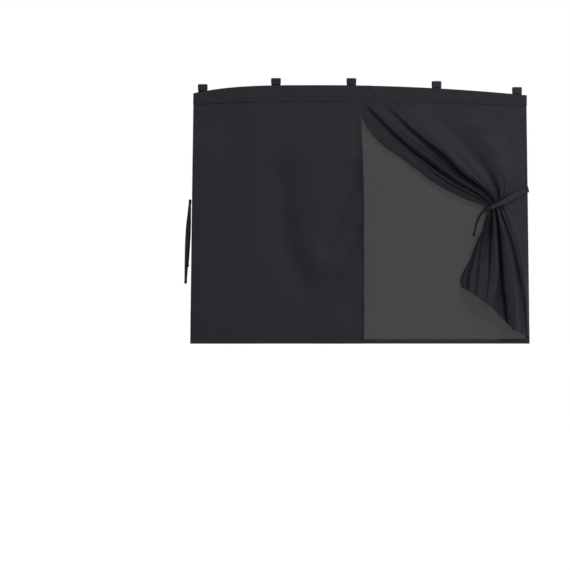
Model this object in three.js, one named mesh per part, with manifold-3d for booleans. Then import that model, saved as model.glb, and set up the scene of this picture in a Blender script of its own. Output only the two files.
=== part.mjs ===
// Car side window sunshade. A full-size mesh layer hangs at the back, two blackout
// curtains hang in front of it, and one folded header strip holds all three at the top.
// Five magnets in sewn tabs cling to the steel of the door frame. The left curtain hangs
// over its half of the window. The right one is gathered to the side with a tie ribbon.
// Millimetres. X runs along the window, Z is up, and the cabin side faces -Y.
// Places are laid out from the middle of the bottom edge, at the tabs' back face.
// The whole shade is then moved so that the origin is the middle tab's back face.
import * as THREE from "three";
import { mergeVertices } from "three/addons/utils/BufferGeometryUtils.js";
import Module from "manifold-3d";

const wasm = await Module();
wasm.setup();

// Outline of the shade: sides that lean in a little, and a top edge with an uneven arch
const HALF_WIDTH_BOTTOM = 352;
const HALF_WIDTH_TOP = 345;
const HEIGHT = 536;
const ARCH_PEAK_X = -83;
const ARCH_LEFT_DROP = 17;
const ARCH_RIGHT_DROP = 21;
const ARCH_LEFT_POWER = 3.5;
const ARCH_RIGHT_POWER = 2;

// Stock: webbing of the tabs, header strip, mesh, edge binding, curtain cloth, ribbon
const WEBBING_THICKNESS = 0.9;
const HEADER_THICKNESS = 0.6;
const MESH_THICKNESS = 0.6;
const BINDING_THICKNESS = 0.5;
const CLOTH_THICKNESS = 0.8;
const HEM_THICKNESS = 1.5;
const RIBBON_THICKNESS = 0.8;
const CLEARANCE = 0.3;

// Header strip: its seam is flatter than the arch of the top edge
const HEADER_DEPTH = 34.5;
const HEADER_SEAM_FLATTENING = 0.45;

// Tabs and magnets: a tab's pocket is made to fit its magnet
const MAGNET_WIDTH = 15;
const MAGNET_HEIGHT = 9;
const MAGNET_THICKNESS = 2.4;
const TAB_SIDE_MARGIN = 2.5;
const TAB_LEG = 24;
const TAB_FOOT_RISE = 2;
const END_TAB_INSET = 19;
const TAB_SHARES = [0, 0.233, 0.473, 0.744, 1];

// Edge binding of the mesh, and the curtains' own hems
const SIDE_BINDING_WIDTH = 8;
const BOTTOM_BINDING_HEIGHT = 9;
const BINDING_TOP_GAP = 1;
const CURTAIN_HEM_WIDTH = 10;
const HEM_STEP = 0.8;

// Openings of the net
const NET_COLUMNS = 12;
const NET_ROWS = 9;
const NET_OPENING = 3;
const NET_MARGIN = 22;

// Curtains: where they part, how they hang clear of the mesh, and how far down from the
// seam they come to their full standoff and their full folds
const SPLIT_X = 2;
const LEFT_CURTAIN_OVERLAP = 6;
const LEFT_CURTAIN_SWELL = 5;
const CURTAIN_EDGE_INSET = 1;
const CURTAIN_SEAM_INSET = 2;
const CURTAIN_STANDOFF = 2.2;
const STANDOFF_EASE = 30;
const FOLD_EASE = 120;

// Gather of the right curtain
const TIE_HEIGHT = 284;
const WAIST_INSET = 87;
const WAIST_WIDTH = 22;
const WAIST_RISE = 9;
const WAIST_DEPTH = 18;
const SWAG_DEPTH = 13;
const SKIRT_DEPTH = 28;
const SIDE_EDGE_HEM_SHARE = 0.06;
const SIDE_LOBE_SHARE = 0.32;

// Tie ribbons
const RIBBON_WIDTH = 13;
const RIBBON_GATHERED_WIDTH = 9;
const TAIL_WIDTH = 6;
const LONG_TAIL_LENGTH = 52;
const SHORT_TAIL_LENGTH = 38;
const RIBBON_RISE = 30;
const KNOT_RADIUS = 4.5;
const END_KNOT_RADIUS = 3.2;
const LOOSE_TIE_LENGTH = 170;
const LOOSE_TIE_WIDTH = 9;
const LOOSE_TIE_SPREAD = 3.2;

const POLYESTER = new THREE.MeshStandardMaterial({ color: 0x2b2d31, roughness: 0.85 });
const NET = new THREE.MeshStandardMaterial({ color: 0x1d1d1f, roughness: 0.8 });
const TAPE = new THREE.MeshStandardMaterial({ color: 0x232427, roughness: 0.8 });
const WEBBING = new THREE.MeshStandardMaterial({ color: 0x2a2830, roughness: 0.75 });
const MAGNET = new THREE.MeshStandardMaterial({ color: 0x9a9ca0, roughness: 0.35, metalness: 0.9 });

// Layers from the tabs' back face at y = 0 forwards; each value is a layer's back face
const TAB_FRONT_LEG_Y = -WEBBING_THICKNESS - CLEARANCE;
const HEADER_BACK_Y = TAB_FRONT_LEG_Y - WEBBING_THICKNESS - CLEARANCE;
const MESH_Y = HEADER_BACK_Y - HEADER_THICKNESS - CLEARANCE;
const BINDING_FRONT_Y = MESH_Y - MESH_THICKNESS - CLEARANCE - BINDING_THICKNESS;
const CURTAIN_Y = BINDING_FRONT_Y - CLEARANCE;
const HEADER_FRONT_Y = CURTAIN_Y - HEM_THICKNESS - CLEARANCE;
const CURTAIN_MIDDLE_Y = CURTAIN_Y - HEM_THICKNESS / 2;

// The side edge leans in towards the top
function sideX(z) {
  return HALF_WIDTH_BOTTOM + (HALF_WIDTH_TOP - HALF_WIDTH_BOTTOM) * (z / HEIGHT);
}

function archDrop(x) {
  const left = x < ARCH_PEAK_X;
  const reach = left ? HALF_WIDTH_TOP + ARCH_PEAK_X : HALF_WIDTH_TOP - ARCH_PEAK_X;
  const share = Math.abs(x - ARCH_PEAK_X) / reach;
  return left ? ARCH_LEFT_DROP * share ** ARCH_LEFT_POWER : ARCH_RIGHT_DROP * share ** ARCH_RIGHT_POWER;
}

function topEdge(x) {
  return HEIGHT - archDrop(x);
}

function headerSeam(x) {
  return HEIGHT - HEADER_DEPTH - HEADER_SEAM_FLATTENING * archDrop(x);
}

// Height at which the cloth layers end inside the fold of the header
function layerTop(x) {
  return topEdge(x) - HEADER_THICKNESS - CLEARANCE;
}

// 0 at one value and 1 at the other, whichever of them is larger
function smooth(from, to, value) {
  const share = THREE.MathUtils.clamp((value - from) / (to - from), 0, 1);
  return share * share * (3 - 2 * share);
}

function evenSteps(from, to, count) {
  return Array.from({ length: count + 1 }, (_, k) => from + ((to - from) * k) / count);
}

// One closed solid from vertices and triangles, turned the right way out if need be
function closedGeometry(vertices, triangles) {
  const geometry = new THREE.BufferGeometry();
  let volume = 0;
  for (const [a, b, c] of triangles) {
    volume += vertices[a].dot(vertices[b].clone().cross(vertices[c]));
  }
  const index = triangles.flatMap(([a, b, c]) => (volume > 0 ? [a, b, c] : [a, c, b]));
  const positions = vertices.flatMap((vertex) => vertex.toArray());
  geometry.setAttribute("position", new THREE.Float32BufferAttribute(positions, 3));
  geometry.setIndex(index);
  geometry.computeVertexNormals();
  return geometry;
}

// A cloth of a given thickness about its middle surface, a grid of points by rows
function clothGeometry(rows, thicknessAt) {
  const lastRow = rows.length - 1;
  const lastColumn = rows[0].length - 1;
  const width = lastColumn + 1;
  const vertices = [[], []];
  for (let i = 0; i <= lastRow; i += 1) {
    for (let j = 0; j <= lastColumn; j += 1) {
      const along = rows[i][Math.min(j + 1, lastColumn)].clone().sub(rows[i][Math.max(j - 1, 0)]);
      const down = rows[Math.min(i + 1, lastRow)][j].clone().sub(rows[Math.max(i - 1, 0)][j]);
      const normal = along.cross(down).normalize();
      const half = thicknessAt(i, j) / 2;
      vertices[0].push(rows[i][j].clone().addScaledVector(normal, half));
      vertices[1].push(rows[i][j].clone().addScaledVector(normal, -half));
    }
  }
  const backStart = width * (lastRow + 1);
  const triangles = [];
  const addQuad = (a, b, c, d) => triangles.push([a, b, c], [a, c, d]);
  for (let i = 0; i < lastRow; i += 1) {
    for (let j = 0; j < lastColumn; j += 1) {
      const a = i * width + j;
      const c = a + width + 1;
      addQuad(a, a + 1, c, c - 1);
      addQuad(backStart + a, backStart + c - 1, backStart + c, backStart + a + 1);
    }
  }
  const rim = [];
  for (let j = 0; j < lastColumn; j += 1) {
    rim.push(j);
  }
  for (let i = 0; i < lastRow; i += 1) {
    rim.push(i * width + lastColumn);
  }
  for (let j = lastColumn; j > 0; j -= 1) {
    rim.push(lastRow * width + j);
  }
  for (let i = lastRow; i > 0; i -= 1) {
    rim.push(i * width);
  }
  rim.forEach((a, k) => {
    const b = rim[(k + 1) % rim.length];
    addQuad(a, backStart + a, backStart + b, b);
  });
  return closedGeometry(vertices.flat(), triangles);
}

// A solid through sections with the same number of corners; flat holds one section in 2D
function loftGeometry(sections, flat) {
  const corners = flat.length;
  const triangles = [];
  for (let i = 0; i < sections.length - 1; i += 1) {
    for (let j = 0; j < corners; j += 1) {
      const a = i * corners + j;
      const b = i * corners + ((j + 1) % corners);
      triangles.push([a, b, b + corners], [a, b + corners, a + corners]);
    }
  }
  const lastStart = (sections.length - 1) * corners;
  const contour = flat.map(([x, y]) => new THREE.Vector2(x, y));
  const clockwise = THREE.ShapeUtils.isClockWise(contour);
  for (const face of THREE.ShapeUtils.triangulateShape(contour, [])) {
    const [a, b, c] = clockwise ? face : [...face].reverse();
    triangles.push([a, b, c], [lastStart + a, lastStart + c, lastStart + b]);
  }
  return closedGeometry(sections.flat(), triangles);
}

function toManifold(geometry) {
  const bare = geometry.clone();
  bare.deleteAttribute("normal");
  bare.deleteAttribute("uv");
  const merged = mergeVertices(bare, 1e-4);
  return new wasm.Manifold(new wasm.Mesh({
    numProp: 3,
    vertProperties: new Float32Array(merged.attributes.position.array),
    triVerts: new Uint32Array(merged.index.array),
  }));
}

function fromManifold(solid) {
  const mesh = solid.getMesh();
  const geometry = new THREE.BufferGeometry();
  geometry.setAttribute("position", new THREE.BufferAttribute(mesh.vertProperties, 3));
  geometry.setIndex(new THREE.BufferAttribute(mesh.triVerts, 1));
  geometry.computeVertexNormals();
  return geometry;
}

function joined(geometries) {
  return fromManifold(geometries.map(toManifold).reduce((sum, next) => sum.add(next)));
}

const shade = new THREE.Group();

function addPiece(name, geometry, material) {
  const piece = new THREE.Mesh(geometry, material);
  piece.name = name;
  shade.add(piece);
}

// Mesh layer: one cut of net, with a few of its openings
function makeMeshPanel() {
  const edgeGap = BINDING_THICKNESS + CLEARANCE;
  const outline = new THREE.Shape();
  outline.moveTo(-sideX(0) + edgeGap, edgeGap);
  outline.lineTo(sideX(0) - edgeGap, edgeGap);
  const steps = 28;
  for (let k = 0; k <= steps; k += 1) {
    const x = (HALF_WIDTH_TOP - edgeGap) * (1 - (2 * k) / steps);
    outline.lineTo(x, layerTop(x));
  }
  const cut = new THREE.ExtrudeGeometry(outline, { depth: MESH_THICKNESS, bevelEnabled: false });
  cut.rotateX(Math.PI / 2);
  cut.translate(0, MESH_Y, 0);
  const lowest = BOTTOM_BINDING_HEIGHT + NET_MARGIN;
  const highest = HEIGHT - HEADER_DEPTH - ARCH_RIGHT_DROP - NET_MARGIN;
  const reach = HALF_WIDTH_TOP - SIDE_BINDING_WIDTH - NET_MARGIN;
  let net = toManifold(cut);
  for (let i = 0; i < NET_COLUMNS; i += 1) {
    for (let j = 0; j < NET_ROWS; j += 1) {
      const opening = new THREE.BoxGeometry(NET_OPENING, 4 * MESH_THICKNESS, NET_OPENING);
      const x = reach * ((2 * i) / (NET_COLUMNS - 1) - 1);
      const z = lowest + ((highest - lowest) * j) / (NET_ROWS - 1);
      opening.translate(x, MESH_Y, z);
      net = net.subtract(toManifold(opening));
    }
  }
  addPiece("mesh_panel", fromManifold(net), NET);
}

// Binding tape folded round an edge: a U section, from its open side to its fold
function foldedSection(width, tape) {
  const outerFront = MESH_Y - MESH_THICKNESS - CLEARANCE - tape;
  const outerBack = MESH_Y + CLEARANCE + tape;
  return [
    [0, outerFront],
    [width, outerFront],
    [width, outerBack],
    [0, outerBack],
    [0, outerBack - tape],
    [width - tape, outerBack - tape],
    [width - tape, outerFront + tape],
    [0, outerFront + tape],
  ];
}

function makeSideBinding(name, side) {
  const section = foldedSection(SIDE_BINDING_WIDTH, BINDING_THICKNESS);
  const top = headerSeam(side * HALF_WIDTH_TOP) - BINDING_TOP_GAP;
  const sections = [0, top].map((z) => section.map(([inwards, y]) => {
    const x = side * (sideX(z) - SIDE_BINDING_WIDTH + inwards);
    return new THREE.Vector3(x, y, z);
  }));
  addPiece(name, loftGeometry(sections, section), TAPE);
}

function makeBottomBinding() {
  const section = foldedSection(BOTTOM_BINDING_HEIGHT, BINDING_THICKNESS);
  const sections = [-1, 1].map((side) => section.map(([depth, y]) => {
    const z = BOTTOM_BINDING_HEIGHT - depth;
    const x = side * (sideX(z) - SIDE_BINDING_WIDTH - CLEARANCE);
    return new THREE.Vector3(x, y, z);
  }));
  addPiece("mesh_bottom_hem", loftGeometry(sections, section), TAPE);
}

// Header: one strip folded over the top edge, with a soft fold
function makeHeader() {
  const front = HEADER_FRONT_Y - HEADER_THICKNESS;
  const fold = HEADER_THICKNESS;
  // Corners as [y, drop below the top edge], or "seam" for the free lower edge
  const section = [
    [front, "seam"],
    [front, fold],
    [front + fold, 0],
    [HEADER_BACK_Y - fold, 0],
    [HEADER_BACK_Y, fold],
    [HEADER_BACK_Y, "seam"],
    [HEADER_BACK_Y - HEADER_THICKNESS, "seam"],
    [HEADER_BACK_Y - HEADER_THICKNESS, fold],
    [HEADER_FRONT_Y, fold],
    [HEADER_FRONT_Y, "seam"],
  ];
  const flat = section.map(([y, drop]) => [y, drop === "seam" ? -HEADER_DEPTH : -drop]);
  const steps = 28;
  const sections = [];
  for (let k = 0; k <= steps; k += 1) {
    const share = (2 * k) / steps - 1;
    sections.push(section.map(([y, drop]) => {
      const nominal = share * HALF_WIDTH_TOP;
      const z = drop === "seam" ? headerSeam(nominal) : topEdge(nominal) - drop;
      return new THREE.Vector3(share * sideX(z), y, z);
    }));
  }
  addPiece("header_band", loftGeometry(sections, flat), POLYESTER);
}

// Heights in a tab's pocket above the header's edge, and its depth from front to back
const POCKET_DEPTH = 2 * (WEBBING_THICKNESS + CLEARANCE) + MAGNET_THICKNESS;
const POCKET_FLOOR = TAB_FOOT_RISE + POCKET_DEPTH / 2 - WEBBING_THICKNESS;
const POCKET_ARC = POCKET_FLOOR + MAGNET_HEIGHT + 2 * CLEARANCE;
const TAB_STAND = POCKET_ARC + POCKET_DEPTH / 2;

// Tab: one length of webbing folded into a pocket, with both legs behind the header
function makeTab(number, x) {
  const radius = POCKET_DEPTH / 2;
  const innerFront = WEBBING_THICKNESS - POCKET_DEPTH;
  const legFront = TAB_FRONT_LEG_Y - WEBBING_THICKNESS;
  const outline = new THREE.Shape();
  outline.moveTo(0, -TAB_LEG);
  outline.lineTo(0, POCKET_ARC);
  outline.absarc(-radius, POCKET_ARC, radius, 0, Math.PI, false);
  outline.lineTo(-POCKET_DEPTH, POCKET_FLOOR);
  outline.lineTo(legFront, TAB_FOOT_RISE);
  outline.lineTo(legFront, -TAB_LEG);
  outline.lineTo(TAB_FRONT_LEG_Y, -TAB_LEG);
  outline.lineTo(TAB_FRONT_LEG_Y, TAB_FOOT_RISE);
  outline.lineTo(innerFront, POCKET_FLOOR);
  outline.lineTo(innerFront, POCKET_ARC);
  outline.absarc(-radius, POCKET_ARC, radius - WEBBING_THICKNESS, Math.PI, 0, true);
  outline.lineTo(-WEBBING_THICKNESS, -TAB_LEG);
  outline.closePath();
  const width = MAGNET_WIDTH + 2 * TAB_SIDE_MARGIN;
  const tab = new THREE.ExtrudeGeometry(outline, { depth: width, bevelEnabled: false, curveSegments: 6 });
  // The outline is drawn in Y and Z, and its extrusion runs along X
  const alongX = new THREE.Matrix4().makeBasis(
    new THREE.Vector3(0, 1, 0), new THREE.Vector3(0, 0, 1), new THREE.Vector3(1, 0, 0));
  tab.applyMatrix4(alongX);
  tab.translate(x - width / 2, 0, topEdge(x));
  addPiece(`tab_${number}`, tab, WEBBING);
  const magnet = new THREE.BoxGeometry(MAGNET_WIDTH, MAGNET_THICKNESS, MAGNET_HEIGHT);
  magnet.translate(x, -radius, topEdge(x) + POCKET_FLOOR + CLEARANCE + MAGNET_HEIGHT / 2);
  addPiece(`tab_magnet_${number}`, magnet, MAGNET);
}

// Where the cloth's soft folds run, in shares of the panel's width and height.
// Each fold has a line of points, a width in mm and a depth in mm.
const LEFT_CURTAIN_FOLDS = [
  { line: [[0.5, 0.8], [0.545, 0.44], [0.6, 0.3], [0.7, 0.2], [0.81, 0.22]], width: 34, depth: -3 },
  { line: [[0.96, 0.65], [0.89, 0.53], [0.81, 0.38]], width: 22, depth: -2.5 },
  { line: [[0.97, 0.43], [0.92, 0.37], [0.86, 0.28]], width: 18, depth: -2 },
  { line: [[0.05, 0.8], [0.07, 0.1]], width: 40, depth: 2.5 },
  { line: [[0.3, 0.6], [0.28, 0.05]], width: 60, depth: 2 },
  { line: [[0.75, 0.5], [0.84, 0.02]], width: 45, depth: 2 },
];

function distanceToLine(line, x, z) {
  let nearest = Infinity;
  for (let k = 0; k < line.length - 1; k += 1) {
    const start = new THREE.Vector3(line[k][0], 0, line[k][1]);
    const end = new THREE.Vector3(line[k + 1][0], 0, line[k + 1][1]);
    const point = new THREE.Vector3(x, 0, z);
    const closest = new THREE.Line3(start, end).closestPointToPoint(point, true, new THREE.Vector3());
    nearest = Math.min(nearest, closest.distanceTo(point));
  }
  return nearest;
}

function leftCurtainInnerX(z) {
  return SPLIT_X + LEFT_CURTAIN_OVERLAP * (1 - smooth(TIE_HEIGHT, headerSeam(SPLIT_X), z));
}

function makeLeftCurtain() {
  const columns = 14;
  const lastRows = 16;
  const panelWidth = HALF_WIDTH_BOTTOM + SPLIT_X;
  const folds = LEFT_CURTAIN_FOLDS.map(({ line, width, depth }) => ({
    line: line.map(([u, v]) => [-HALF_WIDTH_BOTTOM + u * panelWidth, v * HEIGHT]),
    width,
    depth,
  }));
  const hemShare = CURTAIN_HEM_WIDTH / panelWidth;
  const stepShare = HEM_STEP / panelWidth;
  const across = [...evenSteps(0, 1 - hemShare - stepShare, columns), 1 - hemShare, 1];
  const rows = [];
  const addRow = (heightAt) => {
    rows.push(across.map((share) => {
      const z = heightAt(share);
      const left = -sideX(z) + CURTAIN_EDGE_INSET;
      const x = left + share * (leftCurtainInnerX(z) - left);
      const flatAbove = headerSeam(x) - CURTAIN_SEAM_INSET;
      const free = smooth(flatAbove, headerSeam(x) - FOLD_EASE, z);
      const standoff = CURTAIN_STANDOFF * smooth(flatAbove, headerSeam(x) - STANDOFF_EASE, z);
      let swell = LEFT_CURTAIN_SWELL;
      for (const { line, width, depth } of folds) {
        swell += depth * Math.exp(-((distanceToLine(line, x, z) / width) ** 2));
      }
      return new THREE.Vector3(x, CURTAIN_MIDDLE_Y - standoff - free * swell, z);
    }));
  };
  const nominalX = (share) => -HALF_WIDTH_TOP + share * (HALF_WIDTH_TOP + SPLIT_X);
  addRow((share) => layerTop(nominalX(share)));
  const lowest = CURTAIN_HEM_WIDTH + HEM_STEP;
  for (let i = 0; i <= lastRows; i += 1) {
    addRow((share) => {
      const highest = headerSeam(nominalX(share)) - CURTAIN_SEAM_INSET;
      return highest + (lowest - highest) * (i / lastRows);
    });
  }
  addRow(() => CURTAIN_HEM_WIDTH);
  addRow(() => 0);
  const firstHemRow = rows.length - 2;
  const firstHemColumn = across.length - 2;
  const isHem = (i, j) => i >= firstHemRow || j >= firstHemColumn;
  const thicknessAt = (i, j) => (isHem(i, j) ? HEM_THICKNESS : CLOTH_THICKNESS);
  addPiece("left_curtain", clothGeometry(rows, thicknessAt), POLYESTER);
}

// Right curtain: its folds run along five lines, from the header through the waist to
// the hem. The first is the free inner edge, the next three are valleys, and the last is
// the side edge. header is in shares of the curtain's width, waist in shares of the
// waist, and hem gives the inset from the side edge and the height as a share of the
// tie's. The bends are two control points each, in shares of the way that is left.
const FOLD_LINES = [
  {
    header: 0, waist: 0, hem: [135, 0.4],
    swag: [[0.05, 0.34], [0.57, 0.84]], skirt: [[0, 0.25], [0.95, 0.62]],
  },
  {
    header: 0.02, waist: 0.35, hem: [103, 0.32],
    swag: [[0.3, 0.3], [0.65, 0.7]], skirt: [[0.05, 0.3], [0.3, 0.65]],
  },
  {
    header: 0.09, waist: 0.66, hem: [58, 0.2],
    swag: [[0.38, 0.1], [0.72, 0.55]], skirt: [[0.35, 0.3], [0.5, 0.7]],
  },
  {
    header: 0.43, waist: 1, hem: [10, 0.075],
    swag: [[0.55, 0.12], [0.78, 0.5]], skirt: [[0.45, 0.28], [0.8, 0.7]],
  },
];

function waistPoint(share) {
  const left = HALF_WIDTH_BOTTOM - WAIST_INSET;
  return new THREE.Vector2(left + share * WAIST_WIDTH, TIE_HEIGHT + share * WAIST_RISE);
}

function bend(start, end, controls) {
  const reach = end.clone().sub(start);
  const [first, second] = controls.map(([u, v]) => (
    new THREE.Vector2(start.x + reach.x * u, start.y + reach.y * v)
  ));
  return new THREE.CubicBezierCurve(start, first, second, end);
}

// Points of the fold lines at one stage: 0 at the header, 1 at the waist, 2 at the hem
function foldLinePoints(stage) {
  const start = SPLIT_X + 2 * CLEARANCE;
  const edge = (z) => sideX(z) - CURTAIN_EDGE_INSET;
  const points = FOLD_LINES.map(({ header, waist, hem, swag, skirt }) => {
    const headerX = start + header * (edge(HEIGHT) - start);
    const top = new THREE.Vector2(headerX, headerSeam(headerX) - CURTAIN_SEAM_INSET);
    const middle = waistPoint(waist);
    const bottom = new THREE.Vector2(HALF_WIDTH_BOTTOM - hem[0], hem[1] * TIE_HEIGHT);
    const curve = stage <= 1 ? bend(top, middle, swag) : bend(middle, bottom, skirt);
    return curve.getPoint(stage <= 1 ? stage : stage - 1);
  });
  const last = points[points.length - 1];
  const edgeTop = headerSeam(HALF_WIDTH_TOP) - CURTAIN_SEAM_INSET;
  const waistZ = TIE_HEIGHT + WAIST_RISE;
  const hemZ = SIDE_EDGE_HEM_SHARE * TIE_HEIGHT;
  const z = stage <= 1 ? edgeTop + (waistZ - edgeTop) * stage : waistZ + (hemZ - waistZ) * (stage - 1);
  points.push(new THREE.Vector2(Math.max(edge(z), last.x + 1), z));
  return points;
}

// How far the cloth stands forward: folds counts across, with a valley at each whole number
function foldHeight(folds, stage) {
  const swagGrowth = SWAG_DEPTH * smooth(0, 0.5, stage);
  const depth = stage <= 1
    ? swagGrowth + (WAIST_DEPTH - SWAG_DEPTH) * smooth(0.5, 0.95, stage)
    : WAIST_DEPTH + (SKIRT_DEPTH - WAIST_DEPTH) * smooth(1.08, 1.8, stage);
  const narrow = Math.sin(Math.PI * folds) ** 2;
  if (folds >= 3) {
    const rise = smooth(3, 3.25, folds) * (1 - 0.8 * smooth(3.25, 4, folds));
    return SIDE_LOBE_SHARE * depth * rise;
  }
  if (folds <= 2) {
    const broad = Math.sin((Math.PI * folds) / 2) ** 2;
    return depth * THREE.MathUtils.lerp(narrow, broad, smooth(1.3, 1.75, stage));
  }
  return depth * narrow * THREE.MathUtils.lerp(0.45, 1, smooth(0.55, 0.9, stage));
}

function rightCurtainPoint(folds, stage) {
  const lines = foldLinePoints(stage);
  const first = Math.min(Math.floor(folds), lines.length - 2);
  const place = lines[first].clone().lerp(lines[first + 1], folds - first);
  const stand = CURTAIN_STANDOFF * smooth(0, 0.12, stage);
  return new THREE.Vector3(place.x, CURTAIN_MIDDLE_Y - stand - foldHeight(folds, stage), place.y);
}

function makeRightCurtain() {
  // Even steps through the folds and from header to waist; the last stages make the hem
  const folds = [...evenSteps(0, 3, 24), 3.12, 3.25, 3.5, 3.75, 4];
  const stages = [...evenSteps(0, 1, 14), ...evenSteps(1.094, 1.94, 9), 1.945, 2];
  const rows = stages.map((stage) => folds.map((fold) => rightCurtainPoint(fold, stage)));
  const tucked = rows[0].map((point) => new THREE.Vector3(point.x, CURTAIN_MIDDLE_Y, layerTop(point.x)));
  rows.unshift(tucked);
  const firstHemRow = rows.length - 2;
  const thicknessAt = (i) => (i >= firstHemRow ? HEM_THICKNESS : CLOTH_THICKNESS);
  addPiece("right_curtain", clothGeometry(rows, thicknessAt), POLYESTER);
}

// Ribbon through chosen points. Its width and the direction of its width are given at
// even shares of its run, and each is blended between them.
function ribbonGeometry(points, widths, directions, steps) {
  const curve = new THREE.CatmullRomCurve3(points, false, "centripetal");
  const sections = [];
  for (let k = 0; k <= steps; k += 1) {
    const share = k / steps;
    const place = (list) => Math.min(Math.floor(share * (list.length - 1)), list.length - 2);
    const part = (list) => share * (list.length - 1) - place(list);
    const centre = curve.getPoint(share);
    const run = curve.getTangent(share);
    const from = directions[place(directions)];
    const across = from.clone().lerp(directions[place(directions) + 1], part(directions));
    across.addScaledVector(run, -across.dot(run)).normalize();
    const outwards = run.clone().cross(across);
    const [width, nextWidth] = widths.slice(place(widths));
    const halfWidth = THREE.MathUtils.lerp(width, nextWidth, part(widths)) / 2;
    const half = RIBBON_THICKNESS / 2;
    const corner = (a, b) => centre.clone().addScaledVector(across, a).addScaledVector(outwards, b);
    sections.push([
      corner(-halfWidth, -half),
      corner(halfWidth, -half),
      corner(halfWidth, half),
      corner(-halfWidth, half),
    ]);
  }
  return loftGeometry(sections, [[-1, -1], [1, -1], [1, 1], [-1, 1]]);
}

function knotGeometry(centre, radius, length) {
  const knot = new THREE.SphereGeometry(radius, 12, 8);
  knot.rotateX(Math.PI / 2);
  knot.scale(1, 1, length / radius / 2);
  knot.translate(centre.x, centre.y, centre.z);
  return knot;
}

const UPWARDS = new THREE.Vector3(0, 0, 1);
const SIDEWAYS = new THREE.Vector3(1, 0, 0);
const SLANTED = new THREE.Vector3(0.7, 0.7, 0);
const EDGEWAYS = new THREE.Vector3(0.5, -0.85, 0);

// Right tie: one ribbon, folded round the curtain's edge at the side binding, that
// runs round the gathered cloth and is knotted on its left
function makeRightTie() {
  const ribbonGap = CLEARANCE + RIBBON_THICKNESS / 2;
  const backY = BINDING_FRONT_Y - ribbonGap;
  const clothFront = CURTAIN_MIDDLE_Y - CURTAIN_STANDOFF - CLOTH_THICKNESS / 2;
  const frontY = clothFront - WAIST_DEPTH - 2 * ribbonGap;
  const left = waistPoint(0);
  const right = waistPoint(1);
  const sideZ = TIE_HEIGHT + WAIST_RISE / 2 + RIBBON_RISE;
  const side = sideX(sideZ);
  const edgeY = clothFront - 2;
  const turnY = (backY + edgeY) / 2;
  const knot = new THREE.Vector3(left.x - KNOT_RADIUS - 2, (frontY + backY) / 2, left.y - 8);
  const loop = [
    new THREE.Vector3(knot.x, knot.y + 3, knot.z),
    new THREE.Vector3(left.x - 4, backY - 3, knot.z),
    new THREE.Vector3(left.x + 4, backY, knot.z + 2),
    new THREE.Vector3(right.x, backY, right.y - 2),
    new THREE.Vector3(side - 22, backY, sideZ - 13),
    new THREE.Vector3(side - 6, backY - 0.4, sideZ - 2),
    new THREE.Vector3(side - 1.5, backY - 0.8, sideZ),
    new THREE.Vector3(side + 0.9, turnY, sideZ + 1),
    new THREE.Vector3(side - 1.5, edgeY, sideZ),
    new THREE.Vector3(side - 6, edgeY - 1.5, sideZ - 2),
    new THREE.Vector3(side - 30, edgeY - 7, sideZ - 16),
    new THREE.Vector3(right.x + 5, frontY + 5, right.y + 4),
    new THREE.Vector3(right.x - 4, frontY - 0.5, right.y - 3),
    new THREE.Vector3(left.x + 5, frontY - 0.5, left.y - 2),
    new THREE.Vector3(left.x - 1, frontY + 2, knot.z + 2),
    new THREE.Vector3(left.x - 2.5, frontY + 6, knot.z),
    new THREE.Vector3(knot.x, knot.y - 3, knot.z),
  ];
  const narrow = RIBBON_GATHERED_WIDTH;
  const wide = RIBBON_WIDTH;
  const widths = [5, 7, 8, narrow, wide, wide, wide, wide, wide, wide, wide, wide, narrow, narrow, 7, 6, 5];
  const nearMeshY = MESH_Y - MESH_THICKNESS - CLEARANCE - END_KNOT_RADIUS;
  // Places on a tail: y, and how far left and down from the knot, as shares of its length
  const hangTail = (length, places) => places.map(([y, aside, down]) => (
    new THREE.Vector3(knot.x - aside * length, y, knot.z - down * length)
  ));
  const longTail = hangTail(LONG_TAIL_LENGTH, [
    [knot.y, 0, 0],
    [knot.y + 3, 0.15, 0.23],
    [nearMeshY, 0.31, 0.54],
    [nearMeshY, 0.38, 1],
  ]);
  const shortTail = hangTail(SHORT_TAIL_LENGTH, [
    [knot.y, 0, 0],
    [knot.y + 4, 0.03, 0.26],
    [nearMeshY, 0.13, 0.58],
    [nearMeshY, 0.26, 1],
  ]);
  const geometry = joined([
    ribbonGeometry(loop, widths, [UPWARDS, UPWARDS], 80),
    knotGeometry(knot, KNOT_RADIUS, 2.4 * KNOT_RADIUS),
    ribbonGeometry(longTail, [4, TAIL_WIDTH, TAIL_WIDTH], [SLANTED, SLANTED], 10),
    knotGeometry(longTail.at(-1), END_KNOT_RADIUS, 3 * END_KNOT_RADIUS),
    ribbonGeometry(shortTail, [4, TAIL_WIDTH, TAIL_WIDTH], [EDGEWAYS, EDGEWAYS], 8),
  ]);
  addPiece("tie_ribbon_right", geometry, TAPE);
}

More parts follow.
